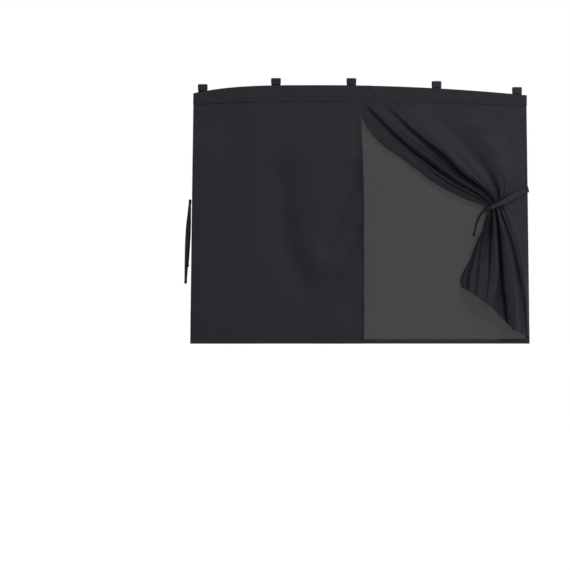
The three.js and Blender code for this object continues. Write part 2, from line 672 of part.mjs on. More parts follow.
// Left tie: not in use, so its ribbon hangs beside the side binding, folded over at the top
function makeLeftTie() {
  const topZ = TIE_HEIGHT + RIBBON_RISE / 2;
  const widths = [TAIL_WIDTH, LOOSE_TIE_WIDTH, LOOSE_TIE_WIDTH, TAIL_WIDTH, TAIL_WIDTH];
  // Places below the fold, as shares of the strand's length, with their drift outwards
  const places = [[1, 5], [0.7, 3], [0.3, 1], [0.08, 0]];
  const strand = (y, length, reach) => places.map(([share, drift], k) => {
    const z = topZ - share * length;
    return new THREE.Vector3(-sideX(z) - CLEARANCE - widths[k] / 2 - reach * drift, y, z);
  });
  const longStrand = strand(MESH_Y - LOOSE_TIE_SPREAD, LOOSE_TIE_LENGTH, 1);
  const shortStrand = strand(MESH_Y + LOOSE_TIE_SPREAD, 0.8 * LOOSE_TIE_LENGTH, 0.5);
  const fold = new THREE.Vector3(-sideX(topZ) - CLEARANCE - TAIL_WIDTH / 2, MESH_Y, topZ);
  const route = [...longStrand, fold, ...[...shortStrand].reverse()];
  const geometry = joined([
    ribbonGeometry(route, [...widths, ...[...widths].reverse().slice(1)], [SIDEWAYS, SIDEWAYS], 32),
    knotGeometry(longStrand[0], END_KNOT_RADIUS, 3 * END_KNOT_RADIUS),
    knotGeometry(shortStrand[0], END_KNOT_RADIUS, 3 * END_KNOT_RADIUS),
  ]);
  addPiece("tie_ribbon_left", geometry, TAPE);
}

makeMeshPanel();
makeSideBinding("side_binding_left", -1);
makeSideBinding("side_binding_right", 1);
makeBottomBinding();
makeHeader();
makeLeftCurtain();
makeRightCurtain();
makeRightTie();
makeLeftTie();

const tabSpan = 2 * (HALF_WIDTH_TOP - END_TAB_INSET);
const tabPlaces = TAB_SHARES.map((share) => -tabSpan / 2 + share * tabSpan);
tabPlaces.forEach((x, k) => makeTab(k + 1, x));

// The origin: the middle of the back face of the middle tab's pocket
const middleTab = tabPlaces[2];
shade.position.set(-middleTab, 0, -(topEdge(middleTab) + TAB_STAND / 2));

export default shade;
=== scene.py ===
import math

import bmesh
import bpy
from mathutils import Matrix, Vector, noise


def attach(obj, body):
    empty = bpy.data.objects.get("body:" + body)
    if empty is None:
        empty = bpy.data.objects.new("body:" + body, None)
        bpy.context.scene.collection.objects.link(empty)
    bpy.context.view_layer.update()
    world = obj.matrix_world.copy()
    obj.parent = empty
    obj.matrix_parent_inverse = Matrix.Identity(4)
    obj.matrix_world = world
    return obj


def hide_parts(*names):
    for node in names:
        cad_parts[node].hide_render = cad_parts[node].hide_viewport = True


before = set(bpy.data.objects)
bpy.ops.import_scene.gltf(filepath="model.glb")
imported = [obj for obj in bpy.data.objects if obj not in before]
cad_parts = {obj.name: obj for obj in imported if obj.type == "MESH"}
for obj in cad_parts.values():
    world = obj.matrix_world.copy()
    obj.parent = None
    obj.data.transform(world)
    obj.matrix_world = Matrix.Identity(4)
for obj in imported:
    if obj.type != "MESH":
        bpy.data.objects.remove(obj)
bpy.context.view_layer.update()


# Setting: a pale floor, a white surround, soft lamps, and a straight front view of the
# hanging shade through a long lens.

class Amount:
    """A value in a pattern, so that the pattern can be written as plain sums."""

    def __init__(self, pattern, socket):
        self.pattern = pattern
        self.socket = socket

    def worked(self, operation, *values):
        inputs = dict(enumerate(values))
        return self.pattern.node("ShaderNodeMath", {"operation": operation}, inputs)

    def __add__(self, other):
        return self.worked("ADD", self, other)

    def __radd__(self, other):
        return self.worked("ADD", other, self)

    def __sub__(self, other):
        return self.worked("SUBTRACT", self, other)

    def __rsub__(self, other):
        return self.worked("SUBTRACT", other, self)

    def __mul__(self, other):
        return self.worked("MULTIPLY", self, other)

    def __rmul__(self, other):
        return self.worked("MULTIPLY", other, self)

    def __truediv__(self, other):
        return self.worked("DIVIDE", self, other)

    def __rtruediv__(self, other):
        return self.worked("DIVIDE", other, self)

    def wave(self):
        return self.worked("SINE", self)

    def limited(self, lowest, highest):
        return self.worked("MINIMUM", self.worked("MAXIMUM", self, lowest), highest)

    def above(self, level, softness):
        """0 below the level and 1 above it, with a soft step."""
        return ((self - level) / softness + 0.5).limited(0, 1)


class Pattern:
    """The nodes of a material or of the surround."""

    def __init__(self, owner):
        owner.use_nodes = True
        self.tree = owner.node_tree

    def node(self, kind, settings, inputs, output=0):
        made = self.tree.nodes.new(kind)
        for key, value in settings.items():
            setattr(made, key, value)
        for key, value in inputs.items():
            self.give(made.inputs[key], value)
        return Amount(self, made.outputs[output])

    def give(self, socket, value):
        if isinstance(value, Amount):
            self.tree.links.new(value.socket, socket)
        else:
            socket.default_value = value


class Finish(Pattern):
    """A material that is worked out from a pattern."""

    def __init__(self, name):
        self.material = bpy.data.materials.new(name)
        super().__init__(self.material)
        self.shader = self.tree.nodes["Principled BSDF"]

    def shade(self, **values):
        """Sets the shader's own sockets, which are named with spaces."""
        for key, value in values.items():
            self.give(self.shader.inputs[key.replace("_", " ")], value)

    def cloth_place(self):
        """How far a point is along and across the threads, in metres."""
        place = self.node("ShaderNodeTexCoord", {}, {}, "UV")
        along = self.node("ShaderNodeSeparateXYZ", {}, {0: place}, "X")
        across = self.node("ShaderNodeSeparateXYZ", {}, {0: place}, "Y")
        return place, along, across

    def clouds(self, place, scale, detail):
        inputs = {"Vector": place, "Scale": scale, "Detail": detail}
        return self.node("ShaderNodeTexNoise", {"noise_dimensions": "3D"}, inputs)

    def between(self, share, first, second):
        inputs = {0: share, 6: (*first, 1), 7: (*second, 1)}
        return self.node("ShaderNodeMix", {"data_type": "RGBA"}, inputs, 2)

    def relief(self, height, distance, strength):
        inputs = {"Height": height, "Distance": distance, "Strength": strength}
        return self.node("ShaderNodeBump", {}, inputs)


VIEW_WIDTH = 1.18
LENS = 85
SENSOR = 36
VIEW_X = -0.1377
VIEW_Z = -0.4216
CLOTH_FRONT = -0.008
FLOOR_Z = -1.06
FLOOR_SIZE = 12
FLOOR_GLOW = 1.14
FLOOR_GLOW_SHARE = 0.88
SURROUND_LIGHT = 0.04

view_camera = bpy.data.cameras.new("front_view")
view_camera.lens = LENS
view_camera.sensor_width = SENSOR
camera_object = bpy.data.objects.new("front_view", view_camera)
camera_object.location = (VIEW_X, CLOTH_FRONT - VIEW_WIDTH * LENS / SENSOR, VIEW_Z)
camera_object.rotation_euler = (math.radians(90), 0, 0)
bpy.context.scene.collection.objects.link(camera_object)
bpy.context.scene.camera = camera_object
bpy.context.scene.view_settings.view_transform = "Standard"

floor_grid = bmesh.new()
bmesh.ops.create_grid(floor_grid, x_segments=1, y_segments=1, size=FLOOR_SIZE)
bmesh.ops.translate(floor_grid, verts=floor_grid.verts, vec=(0, 0, FLOOR_Z))
floor_mesh = bpy.data.meshes.new("floor")
floor_grid.to_mesh(floor_mesh)
floor_grid.free()
floor = bpy.data.objects.new("floor", floor_mesh)
bpy.context.scene.collection.objects.link(floor)


def seen_by(pattern, rays):
    return pattern.node("ShaderNodeLightPath", {}, {}, rays)


# The floor reads as white where it is seen, and keeps a little of the shadow
floor_finish = Finish("pale_floor")
floor_finish.shade(Base_Color=(0.86, 0.86, 0.86, 1), Roughness=0.9)
floor_seen = seen_by(floor_finish, "Is Camera Ray") + seen_by(floor_finish, "Is Glossy Ray")
glow_share = floor_seen.limited(0, 1) * FLOOR_GLOW_SHARE
glow = floor_finish.node("ShaderNodeEmission", {}, {"Color": (1, 1, 1, 1), "Strength": FLOOR_GLOW})
lit_floor = Amount(floor_finish, floor_finish.shader.outputs[0])
floor_look = floor_finish.node("ShaderNodeMixShader", {}, {0: glow_share, 1: lit_floor, 2: glow})
floor_finish.give(floor_finish.tree.nodes["Material Output"].inputs["Surface"], floor_look)
floor_mesh.materials.append(floor_finish.material)

# The surround reads as white where it is seen, and gives the shade a low even light
world = bpy.data.worlds.new("white_surround")
surround = Pattern(world)
surround_seen = seen_by(surround, "Is Camera Ray") + seen_by(surround, "Is Glossy Ray")
surround_seen = surround_seen + seen_by(surround, "Is Transmission Ray")
background = surround.tree.nodes["Background"]
surround.give(background.inputs["Color"], (1, 1, 1, 1))
surround.give(background.inputs["Strength"], surround_seen.limited(SURROUND_LIGHT, 1))
bpy.context.scene.world = world


def add_lamp(name, place, aim, size, power):
    data = bpy.data.lights.new(name, "AREA")
    data.shape = "DISK"
    data.size = size
    data.energy = power
    lamp = bpy.data.objects.new(name, data)
    lamp.location = place
    lamp.rotation_euler = (Vector(aim) - Vector(place)).to_track_quat("-Z", "Y").to_euler()
    bpy.context.scene.collection.objects.link(lamp)


SHADE_MIDDLE = (0.02, 0, -0.27)
add_lamp("key_lamp", (1.5, -1.8, 1.05), SHADE_MIDDLE, size=0.9, power=20)
add_lamp("fill_lamp", (0.5, -2.6, -0.2), SHADE_MIDDLE, size=1.2, power=1.2)
add_lamp("back_lamp", (-1.3, 2.2, 0.9), SHADE_MIDDLE, size=1.2, power=14)


# Outline of the shade, in millimetres from the middle of its bottom edge. The sides lean
# in a little, and the top edge has an uneven arch, which the header's seam follows less.

MIDDLE_TAB = -17.604
ORIGIN_HEIGHT = 543.26
HEIGHT = 536
HALF_WIDTH_BOTTOM = 352
HALF_WIDTH_TOP = 345
ARCH_PEAK_X = -83
ARCH_LEFT_RUN = 262
ARCH_LEFT_DROP = 17
ARCH_RIGHT_RUN = 428
ARCH_RIGHT_DROP = 21
HEADER_DEPTH = 34.5
SEAM_ARCH_SHARE = 0.45


def lerp(first, second, share):
    return first + (second - first) * share


def at(x, y, z):
    """A place on the shade, in metres from the back of the middle tab's pocket."""
    return Vector((x - MIDDLE_TAB, y, z - ORIGIN_HEIGHT)) / 1000


def side_x(z):
    return lerp(HALF_WIDTH_BOTTOM, HALF_WIDTH_TOP, z / HEIGHT)


def arch_drop(x):
    if x < ARCH_PEAK_X:
        return ARCH_LEFT_DROP * ((ARCH_PEAK_X - x) / ARCH_LEFT_RUN) ** 3.5
    return ARCH_RIGHT_DROP * ((x - ARCH_PEAK_X) / ARCH_RIGHT_RUN) ** 2


def top_edge(x):
    return HEIGHT - arch_drop(x)


def header_seam(x):
    return HEIGHT - HEADER_DEPTH - SEAM_ARCH_SHARE * arch_drop(x)


# Cloth of the curtains and the header: closely woven dark polyester with a faint sheen.
# It is sewn in rows of single stitches, with a thread of its own colour.

def woven(name, dark, light, pitch, sheen):
    finish = Finish(name)
    place, along, across = finish.cloth_place()
    turn = 2 * math.pi / pitch
    weave = (along * turn).wave() * (across * turn).wave()
    blotches = finish.clouds(place, scale=14, detail=3)
    slubs = finish.clouds(place, scale=420, detail=2)
    share = (blotches * 0.7 + slubs * 0.25 + weave * 0.12).limited(0, 1)
    finish.shade(
        Base_Color=finish.between(share, dark, light),
        Roughness=0.58 + blotches * 0.12,
        Normal=finish.relief(weave * 0.6 + slubs, distance=0.0002, strength=0.35),
        Sheen_Weight=sheen,
        Sheen_Roughness=0.45,
        Specular_IOR_Level=0.35,
        Specular_Tint=(0.82, 0.9, 1, 1),
    )
    return finish


blackout_cloth = woven(
    "blackout_cloth", dark=(0.008, 0.0086, 0.0115), light=(0.0136, 0.0146, 0.0187),
    pitch=0.0006, sheen=0.03)
thread = woven(
    "sewing_thread", dark=(0.012, 0.012, 0.014), light=(0.022, 0.022, 0.025),
    pitch=0.0008, sheen=0.05)

CLOTH_THICKNESS = 0.6
STITCH_LENGTH = 2.6
STITCH_PITCH = 3.4
NEARBY = 0.0005


def sew(shape, place, route, lift, pitch=STITCH_PITCH, gauge=0.5):
    """Adds a row of stitches to a mesh. The route runs over a cloth's shares, and lift is
    how far the thread lies in front of the cloth's middle, in millimetres."""
    points = [Vector(place(u, v)) for u, v in route]
    spot = 0
    wanted = pitch / 2
    for k, (start, end) in enumerate(zip(points, points[1:])):
        length = (end - start).length
        while spot + length >= wanted:
            share = (wanted - spot) / length
            u = lerp(route[k][0], route[k + 1][0], share)
            v = lerp(route[k][1], route[k + 1][1], share)
            here = Vector(place(u, v))
            over = Vector(place(u + NEARBY, v)) - here
            under = Vector(place(u, v + NEARBY)) - here
            facing = under.cross(over).normalized()
            run = (end - start).normalized()
            side = facing.cross(run).normalized()
            turned = Matrix((run, side, run.cross(side))).transposed().to_4x4()
            half_length = pitch * STITCH_LENGTH / STITCH_PITCH / 2
            size = Matrix.Diagonal((half_length, gauge / 2, gauge / 2.6, 1))
            placed = Matrix.Translation(at(*(here + facing * lift)))
            matrix = placed @ Matrix.Scale(0.001, 4) @ turned @ size
            bmesh.ops.create_icosphere(shape, subdivisions=1, radius=1, matrix=matrix)
            wanted += pitch
        spot += length


# Mesh layer: one full-size cut of fine knitted net behind the curtains. It hangs from the
# header, and tape binds its other three edges.

MESH_Y = -3.6
MESH_THICKNESS = 0.35
MESH_INSET = 0.9
MESH_TOP_INSET = 1.2
NET_PITCH = 0.0014


def smooth(start, end, value):
    share = min(max((value - start) / (end - start), 0), 1)
    return share * share * (3 - 2 * share)


def steps(count, first=0, last=1):
    return [lerp(first, last, k / count) for k in range(count + 1)]


def crumple(x, y, seed):
    """A smooth random height from -1 to 1 that is the same each time."""
    return noise.noise(Vector((x, y, seed)))


def wrinkles(height, x, width, z, length, seed):
    """The height of soft wrinkles that are about so wide and so long."""
    return height * crumple(x / width, z / length, seed)


def finished(name, shape, finish, thickness=0):
    """Puts a shape in the scene as a piece. Cloth gets its thickness, in millimetres."""
    mesh = bpy.data.meshes.new(name)
    for face in shape.faces:
        face.smooth = True
    shape.to_mesh(mesh)
    shape.free()
    mesh.materials.append(finish.material)
    piece = bpy.data.objects.new(name, mesh)
    bpy.context.scene.collection.objects.link(piece)
    if thickness:
        wall = piece.modifiers.new("thickness", "SOLIDIFY")
        wall.thickness = thickness / 1000
        wall.offset = 0
    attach(piece, "root")
    return piece


def cut_of_cloth(name, across, down, place, finish, thickness):
    """A flat cut of cloth whose points are moved to where they hang. Its UV map keeps the
    distances along and across the threads in metres."""
    shape = bmesh.new()
    columns = len(across) - 1
    rows = len(down) - 1
    bmesh.ops.create_grid(shape, x_segments=columns, y_segments=rows, size=0.5)
    grid = {}
    for vertex in shape.verts:
        column = round((vertex.co.x + 0.5) * columns)
        row = round((0.5 - vertex.co.y) * rows)
        grid[vertex] = (row, column)
        vertex.co = at(*place(across[column], down[row]))
    points = {spot: vertex.co for vertex, spot in grid.items()}
    along = {}
    depth = {}
    for row in range(rows + 1):
        for column in range(columns + 1):
            here = points[row, column]
            left = (row, column - 1)
            above = (row - 1, column)
            along[row, column] = along[left] + (here - points[left]).length if column else 0
            depth[row, column] = depth[above] - (here - points[above]).length if row else 0
    cloth_map = shape.loops.layers.uv.new("cloth")
    for face in shape.faces:
        for corner in face.loops:
            spot = grid[corner.vert]
            corner[cloth_map].uv = (along[spot], depth[spot])
    return finished(name, shape, finish, thickness)


def mesh_place(u, v):
    top = top_edge(lerp(-HALF_WIDTH_TOP, HALF_WIDTH_TOP, u)) - MESH_TOP_INSET
    z = lerp(top, MESH_INSET, v)
    x = (side_x(z) - MESH_INSET) * (2 * u - 1)
    loose = smooth(0, 0.12, v) * smooth(1, 0.9, v) * smooth(0, 0.06, u) * smooth(1, 0.94, u)
    slack = 0.5 + wrinkles(1.1, x, 90, z, 160, 1) + wrinkles(0.5, x, 34, z, 90, 2)
    return x, MESH_Y + loose * slack, z


net_finish = Finish("knitted_net")
net_spot, net_along, net_across = net_finish.cloth_place()
net_turn = math.pi / NET_PITCH
row_shift = (net_across * net_turn).wave() * 0.18
bars = (net_along * net_turn + row_shift).wave()
rungs = (net_across * net_turn).wave()
cell = bars * bars * rungs * rungs
hole = cell.above(level=0.36, softness=0.18)
net_blotches = net_finish.clouds(net_spot, scale=9, detail=3)
# The threads are lighter and the holes are painted darker, as painted shade in the depth of the
# holes. The holes also let some light through.
net_finish.shade(
    Base_Color=net_finish.between(hole, (0.036, 0.036, 0.0375), (0.012, 0.012, 0.0125)),
    Roughness=0.7 + net_blotches * 0.15,
    Normal=net_finish.relief(1 - cell, distance=0.0003, strength=0.5),
    Alpha=1 - hole * 0.4,
    Specular_IOR_Level=0.3,
    Sheen_Weight=0.05,
)
mesh_panel = cut_of_cloth(
    "net_layer", steps(90), steps(70), mesh_place, net_finish, MESH_THICKNESS)
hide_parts("mesh_panel")


# Bindings: ribbed tape folded round the net's side edges and round its bottom edge, each
# held by one row of stitches

binding_tape = woven(
    "binding_tape", dark=(0.019, 0.0195, 0.0205), light=(0.033, 0.034, 0.0355),
    pitch=0.0011, sheen=0.04)
TAPE_THICKNESS = 0.5
TAPE_FRONT_Y = -4.45
TAPE_BACK_Y = -2.75
TAPE_TURN = 0.16
SIDE_TAPE = 8
BOTTOM_TAPE = 9
CORNER_GAP = 0.4
TAPE_SEAM_INSET = 0.8
TAPE_SHARES = [0, 0.17, 0.34, 0.4, 0.46, 0.5, 0.54, 0.6, 0.66, 0.83, 1]


def folded(t, width):
    """Depth from the fold and y at a share of a tape, from its front edge to its back."""
    radius = (TAPE_BACK_Y - TAPE_FRONT_Y) / 2
    flat = 0.5 - TAPE_TURN
    if t < flat:
        return lerp(width, radius, t / flat), TAPE_FRONT_Y
    if t > 1 - flat:
        return lerp(radius, width, (t - 1 + flat) / flat), TAPE_BACK_Y
    angle = (t - 0.5) / TAPE_TURN * math.pi / 2
    middle = (TAPE_FRONT_Y + TAPE_BACK_Y) / 2
    return radius * (1 - math.cos(angle)), middle + radius * math.sin(angle)


def ribs(run, depth):
    """The height of the tape's ribs, which are flatter in its fold."""
    return 0.1 * math.sin(run / 1.7) * (1 if depth > 2 else 0.3)


def side_tape_place(side):
    def place(u, v):
        depth, y = folded(u if side > 0 else 1 - u, SIDE_TAPE)
        z = lerp(header_seam(side * HALF_WIDTH_TOP) - 1, 0, v)
        return side * (side_x(z) - depth - TAPE_THICKNESS / 2), y + ribs(z, depth), z
    return place


def bottom_reach():
    return side_x(0) - SIDE_TAPE - CORNER_GAP


def bottom_tape_place(u, v):
    depth, y = folded(v, BOTTOM_TAPE)
    x = lerp(-bottom_reach(), bottom_reach(), u)
    return x, y + ribs(x, depth), depth + TAPE_THICKNESS / 2


def bottom_line_place(u, v):
    x = lerp(-bottom_reach(), bottom_reach(), u)
    return x, TAPE_FRONT_Y, (1 - v) * (BOTTOM_TAPE - TAPE_SEAM_INSET)


def side_line_place(side):
    def place(u, v):
        z = lerp(header_seam(HALF_WIDTH_TOP) - 2, 1, v)
        return side * (side_x(z) - SIDE_TAPE + TAPE_SEAM_INSET) + u, TAPE_FRONT_Y, z
    return place


net_stitching = bmesh.new()
sew(net_stitching, bottom_line_place, [(u, 0) for u in steps(60)], lift=0.35)
for name, side in (("left", -1), ("right", 1)):
    place = side_tape_place(side)
    tape = cut_of_cloth(
        f"side_tape_{name}", TAPE_SHARES, steps(150), place, binding_tape, TAPE_THICKNESS)
    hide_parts(f"side_binding_{name}")
    sew(net_stitching, side_line_place(side), [(0, v) for v in steps(40)], lift=0.35)
bottom_tape = cut_of_cloth(
    "bottom_tape", steps(180), TAPE_SHARES, bottom_tape_place, binding_tape, TAPE_THICKNESS)
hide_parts("mesh_bottom_hem")
net_stitches = finished("net_stitching", net_stitching, thread)


# Left curtain: one cut of blackout cloth that hangs nearly flat, with soft hollows, and
# hems that are turned over and sewn along its bottom and its inner edge

CURTAIN_Y = -5.75
CURTAIN_TOP_INSET = 1.1
CURTAIN_BOTTOM = 0.5
TIE_HEIGHT = 284
# How far the curtain reaches past the middle, at the header and below the tie's height
OVERLAP_AT_HEADER = 8
OVERLAP = 2
HEM = 10.7
INNER_HEM = 7
# How far the free cloth stands forward
SWELL = 8
# Each hollow or swell has a line in shares of the curtain's width and the shade's height,
# a half width and how far its middle stands forward
LEFT_HOLLOWS = [
    ([(0.52, 0.66), (0.545, 0.44), (0.6, 0.3), (0.7, 0.2), (0.81, 0.22)], 30, -9.5),
    ([(0.96, 0.65), (0.89, 0.53), (0.81, 0.38)], 22, -8),
    ([(0.97, 0.43), (0.92, 0.37), (0.86, 0.28)], 18, -6.5),
    ([(0.05, 0.8), (0.07, 0.1)], 40, 4),
    ([(0.3, 0.6), (0.28, 0.05)], 60, 3.5),
    ([(0.75, 0.5), (0.84, 0.02)], 45, 3.5),
]


def distance_to_line(points, x, z):
    here = Vector((x, z))
    nearest = 1e9
    for start, end in zip(points, points[1:]):
        start = Vector(start)
        run = Vector(end) - start
        share = min(max((here - start).dot(run) / run.length_squared, 0), 1)
        nearest = min(nearest, (here - start - run * share).length)
    return nearest


left_hollows = [
    ([(lerp(-side_x(0), OVERLAP, u), v * HEIGHT) for u, v in line], width, forward)
    for line, width, forward in LEFT_HOLLOWS
]


def bump(distance, width):
    """1 in the middle of a soft bump, and less further away from it."""
    return math.exp(-((distance / width) ** 2))


def left_place(u, v):
    top = top_edge(lerp(-HALF_WIDTH_TOP, OVERLAP, u)) - CURTAIN_TOP_INSET
    z = lerp(top, CURTAIN_BOTTOM, v)
    left = 1 - side_x(z)
    spread = smooth(TIE_HEIGHT, header_seam(OVERLAP), z)
    right = lerp(OVERLAP_AT_HEADER, OVERLAP, spread) + 0.6 * crumple(z / 50, 0, 9)
    x = lerp(left, right, u)
    seam = header_seam(x)
    below = max(seam - z, 0)
    inner = right - x
    free = smooth(seam - 2, seam - 120, z)
    swell = SWELL
    for line, width, middle in left_hollows:
        swell += middle * bump(distance_to_line(line, x, z), width)
    swell += wrinkles(1.6, x, 75, z, 170, 3) + wrinkles(0.45, x, 24, z, 60, 4)
    forward = 1.2 * smooth(seam + 1, seam - 2, z) + smooth(seam - 2, seam - 30, z)
    forward += free * swell
    # Puckers beside the inner edge and under the header's seam
    forward += free * wrinkles(1.1, x, 13, z, 22, 8) * bump(inner, 34)
    forward += wrinkles(0.55, x, 8, z, 60, 5) * math.exp(-below / 26) * smooth(0, 6, below)
    # The hems are a second layer of cloth, and their seams pucker it
    hem = smooth(HEM + 0.5, HEM - 0.5, z)
    inner_hem = smooth(INNER_HEM + 0.4, INNER_HEM - 0.4, inner)
    forward += 0.4 * max(hem, inner_hem) * smooth(0, 10, below)
    forward += free * 1.6 * smooth(5, 0, inner)
    forward += 0.28 * crumple(x / 4.5, 0, 6) * bump(z - 9.5, 7)
    forward += 0.25 * crumple(0, z / 4.5, 7) * bump(inner - 6, 6) * free
    return x, CURTAIN_Y - forward, z


LEFT_COLUMNS = [*steps(118, 0, 0.975), *steps(7, 0.979, 1)]
LEFT_ROWS = [*steps(180, 0, 0.972), *steps(7, 0.976, 1)]
LEFT_HEM_ROW = 0.9815
LEFT_INNER_SEAM = 0.983
left_curtain = cut_of_cloth(
    "left_curtain_cloth", LEFT_COLUMNS, LEFT_ROWS, left_place, blackout_cloth, CLOTH_THICKNESS)
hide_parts("left_curtain")

left_stitching = bmesh.new()
left_hem_row = [(u, LEFT_HEM_ROW) for u in steps(120, 0.004, 0.98)]
left_inner_row = [(LEFT_INNER_SEAM, v) for v in steps(160, 0.075, 0.98)]
sew(left_stitching, left_place, left_hem_row, lift=0.42)
sew(left_stitching, left_place, left_inner_row, lift=0.42)
left_stitches = finished("left_curtain_stitching", left_stitching, thread)


# Right curtain: the same cloth, gathered to the side by its tie. Its folds run from the
# header through the tie and open out below it towards a slanting hem.

# Each fold line has a route from the header to the tie and one from the tie to the hem,
# in millimetres, and how far the cloth stands forward at FOLD_STAGES along both.
FOLD_STAGES = [0, 0.06, 0.3, 0.5, 0.75, 0.93, 1, 1.08, 1.25, 1.5, 1.75, 2]
FOLD_LINES = [
    ("edge_return",
     [(3.3, 495), (10, 463), (28.5, 437), (53, 412.5), (86, 389), (119, 364.5), (156, 336.5),
      (195, 315), (228, 299), (257, 287), (268.8, 282)],
     [(268.8, 282), (265, 267), (256.5, 243), (238.5, 203), (226.5, 172), (213, 147), (207.5, 130),
      (211, 115)],
     [0, 0.2, 0.3, 0.4, 0.6, 0.8, 0.8, 0.8, 0.8, 0.8, 0.8, 0.8]),
    ("edge",
     [(2.9, 492.2), (6.6, 465.3), (24.8, 434.3), (49.7, 409.4), (82.8, 385.6), (115.9, 360.8),
      (153.2, 332.9), (193.3, 311.1), (227.7, 295.6), (256.7, 284.6), (268.1, 281.5)],
     [(268.1, 281.5), (263.9, 268.7), (256.7, 245.9), (238, 204.5), (227.7, 169.3), (219.4, 146.6),
      (216.3, 113.4)],
     [0, 0.8, 1.5, 2.5, 4, 5.5, 6, 6.5, 7, 7, 7, 7]),
    ("edge_roll",
     [(3.6, 493.3), (13.5, 472.6), (35.2, 444.6), (60, 418.8), (89, 396), (122.1, 370.1),
      (157.3, 344.2), (196.6, 320.8), (227.7, 305.3), (256.7, 290.6), (269.1, 283.4)],
     [(269.1, 283.4), (266, 268.7), (259.2, 245.9), (244.3, 204.5), (234.9, 169.3), (227.7, 142.4),
      (224.6, 108.3)],
     [0, 2, 4, 6, 9, 10, 9, 12, 15, 18, 19, 19]),
    ("thin_fold",
     [(4.6, 494.3), (17.6, 475.7), (41.4, 449.8), (66.2, 425), (95.2, 400.1), (128.3, 372.2),
      (157.3, 349.4), (180.1, 332.9), (198.7, 322.5), (217.3, 312.2), (240.1, 301.2), (256.7, 291.5),
      (269.9, 284.4)],
     [(269.9, 284.4), (267.4, 266.6), (260.8, 243.8), (249.4, 208.7), (242.2, 169.3), (238, 132.1),
      (233.9, 101.6)],
     [0, 2.5, 5, 4.5, 3, 3, 4, 8, 12, 16, 19, 20]),
    ("hem_roll",
     [(5.8, 494.7), (20.7, 478.2), (44.5, 454.4), (70.4, 429.1), (99.4, 403.6), (134.5, 374.7),
      (165.6, 350.9), (194.6, 331.2), (215.3, 320), (236, 308.4), (256.7, 296), (270.8, 285.2)],
     [(270.8, 285.2), (267, 264.5), (259.5, 239.7), (252, 208.7), (247, 169.3), (245, 132.1),
      (242.2, 95.8)],
     [0, 3, 6, 8.5, 11, 11, 10, 14, 19, 24, 26, 25]),
    ("first_valley",
     [(7.2, 495.4), (20.7, 481.9), (35.2, 467.4), (49.7, 451.7), (66.2, 435.5), (82.8, 420.2),
      (99.4, 406.1), (115.9, 393.3), (138.7, 378.4), (165.6, 357.7), (190.4, 340.1), (207, 330.8),
      (227.7, 318.4), (248.4, 306.6), (262.9, 294.6), (272, 286.1)],
     [(272, 286.1), (271.6, 266.6), (269.1, 245.9), (265.6, 214.9), (262.9, 183.8), (259.8, 152.8),
      (256.7, 117.6), (253.6, 86.5)],
     [0, 0.3, 0.3, 0.5, 2, 2, 2, 3, 5, 13, 21, 24]),
    ("second_roll",
     [(18.6, 496.4), (38.4, 476.8), (65, 450.6), (92.5, 423.8), (126.3, 396), (165.7, 366.5),
      (205.6, 338.6), (243.1, 315.3), (262.4, 300.6), (274.5, 287.3)],
     [(274.9, 287.5), (276.3, 266.6), (278, 235.6), (279.4, 200.4), (281.5, 156.9), (278.4, 119.6),
      (272.2, 94.8), (269.1, 76.2)],
     [0, 8, 17, 21, 19, 13.5, 10.5, 15, 21, 25, 27, 28]),
    ("second_valley",
     [(39.3, 497.4), (60, 481.9), (78.7, 463.3), (97.3, 444.6), (117, 428.5), (136, 414),
      (154, 401.5), (175.9, 383.6), (198.7, 359.8), (219.4, 342.2), (240.1, 328.7), (257.7, 315.7),
      (270.1, 301.8), (278.2, 289)],
     [(278.2, 289), (281.5, 266.6), (284.6, 231.4), (286.1, 194.2), (286.7, 156.9), (288.8, 121.7),
      (293.9, 90.7), (300.1, 45.1)],
     [0, 1, 2, 2, 1.5, 1.5, 2, 3.5, 6, 7, 8, 10]),
    ("third_roll",
     [(78.7, 497.4), (104.7, 464.5), (136.6, 439.1), (157.9, 417.5), (180.6, 392.6),
      (208.1, 363.5), (236, 340.1), (259.3, 320.5), (273.6, 305.3), (281.2, 290.4)],
     [(281.7, 290.6), (287.7, 262.5), (296, 229.4), (305.3, 190), (313.6, 144.5), (317.7, 90.7),
      (319.8, 24.8)],
     [0, 5, 14, 20, 20, 14.5, 11, 15, 22, 27, 29, 29]),
    ("third_valley",
     [(140.8, 496.4), (169.7, 461.2), (194.6, 436.4), (215.3, 412.6), (231.8, 388.7), (250.5, 363.9),
      (267, 339.1), (278.4, 318.4), (285.7, 292.7)],
     [(285.7, 292.7), (289.8, 274.9), (297, 252.1), (306.4, 221.1), (314.6, 190), (321.9, 159),
      (329.8, 121.7), (337.4, 80.3), (342.8, 18)],
     [0, 0.5, 1.5, 3, 4.5, 5, 3.5, 3, 4, 5, 7, 9]),
    ("flat_roll",
     [(211.1, 494.3), (242.2, 455), (267, 411.5), (283.6, 374.3), (293.9, 339.1), (298.1, 316.3),
      (291, 295.2)],
     [(291, 295.2), (298.1, 274.9), (310.5, 248), (321.9, 219), (330.2, 188), (335.3, 156.9),
      (340.5, 119.6), (343.6, 78.2), (345.5, 17.4)],
     [0, 1.5, 6, 11.5, 14, 12, 7, 9, 11, 12, 11, 10]),
    ("side_fold",
     [(283.6, 491.2), (304.3, 452.9), (318.8, 407.4), (327.1, 363.9), (327.1, 338.7), (317, 316),
      (302, 301)],
     [(302, 301), (312.6, 272.8), (326, 245.9), (335.3, 208.7), (341.5, 169.3), (344.2, 121.7),
      (346.1, 78.2), (346.9, 17.2)],
     [0, 0.5, 1.5, 3, 3.5, 3.5, 2.5, 4, 5, 6, 6, 6]),
]
# How sharp a valley is, above the tie and below it
SHARP_FOLDS = {
    "edge_return": (0.8, 0.8), "thin_fold": (0.5, 0.3), "first_valley": (1.2, 0.8),
    "second_valley": (1.4, 0.9), "third_valley": (0.2, 0.9),
}
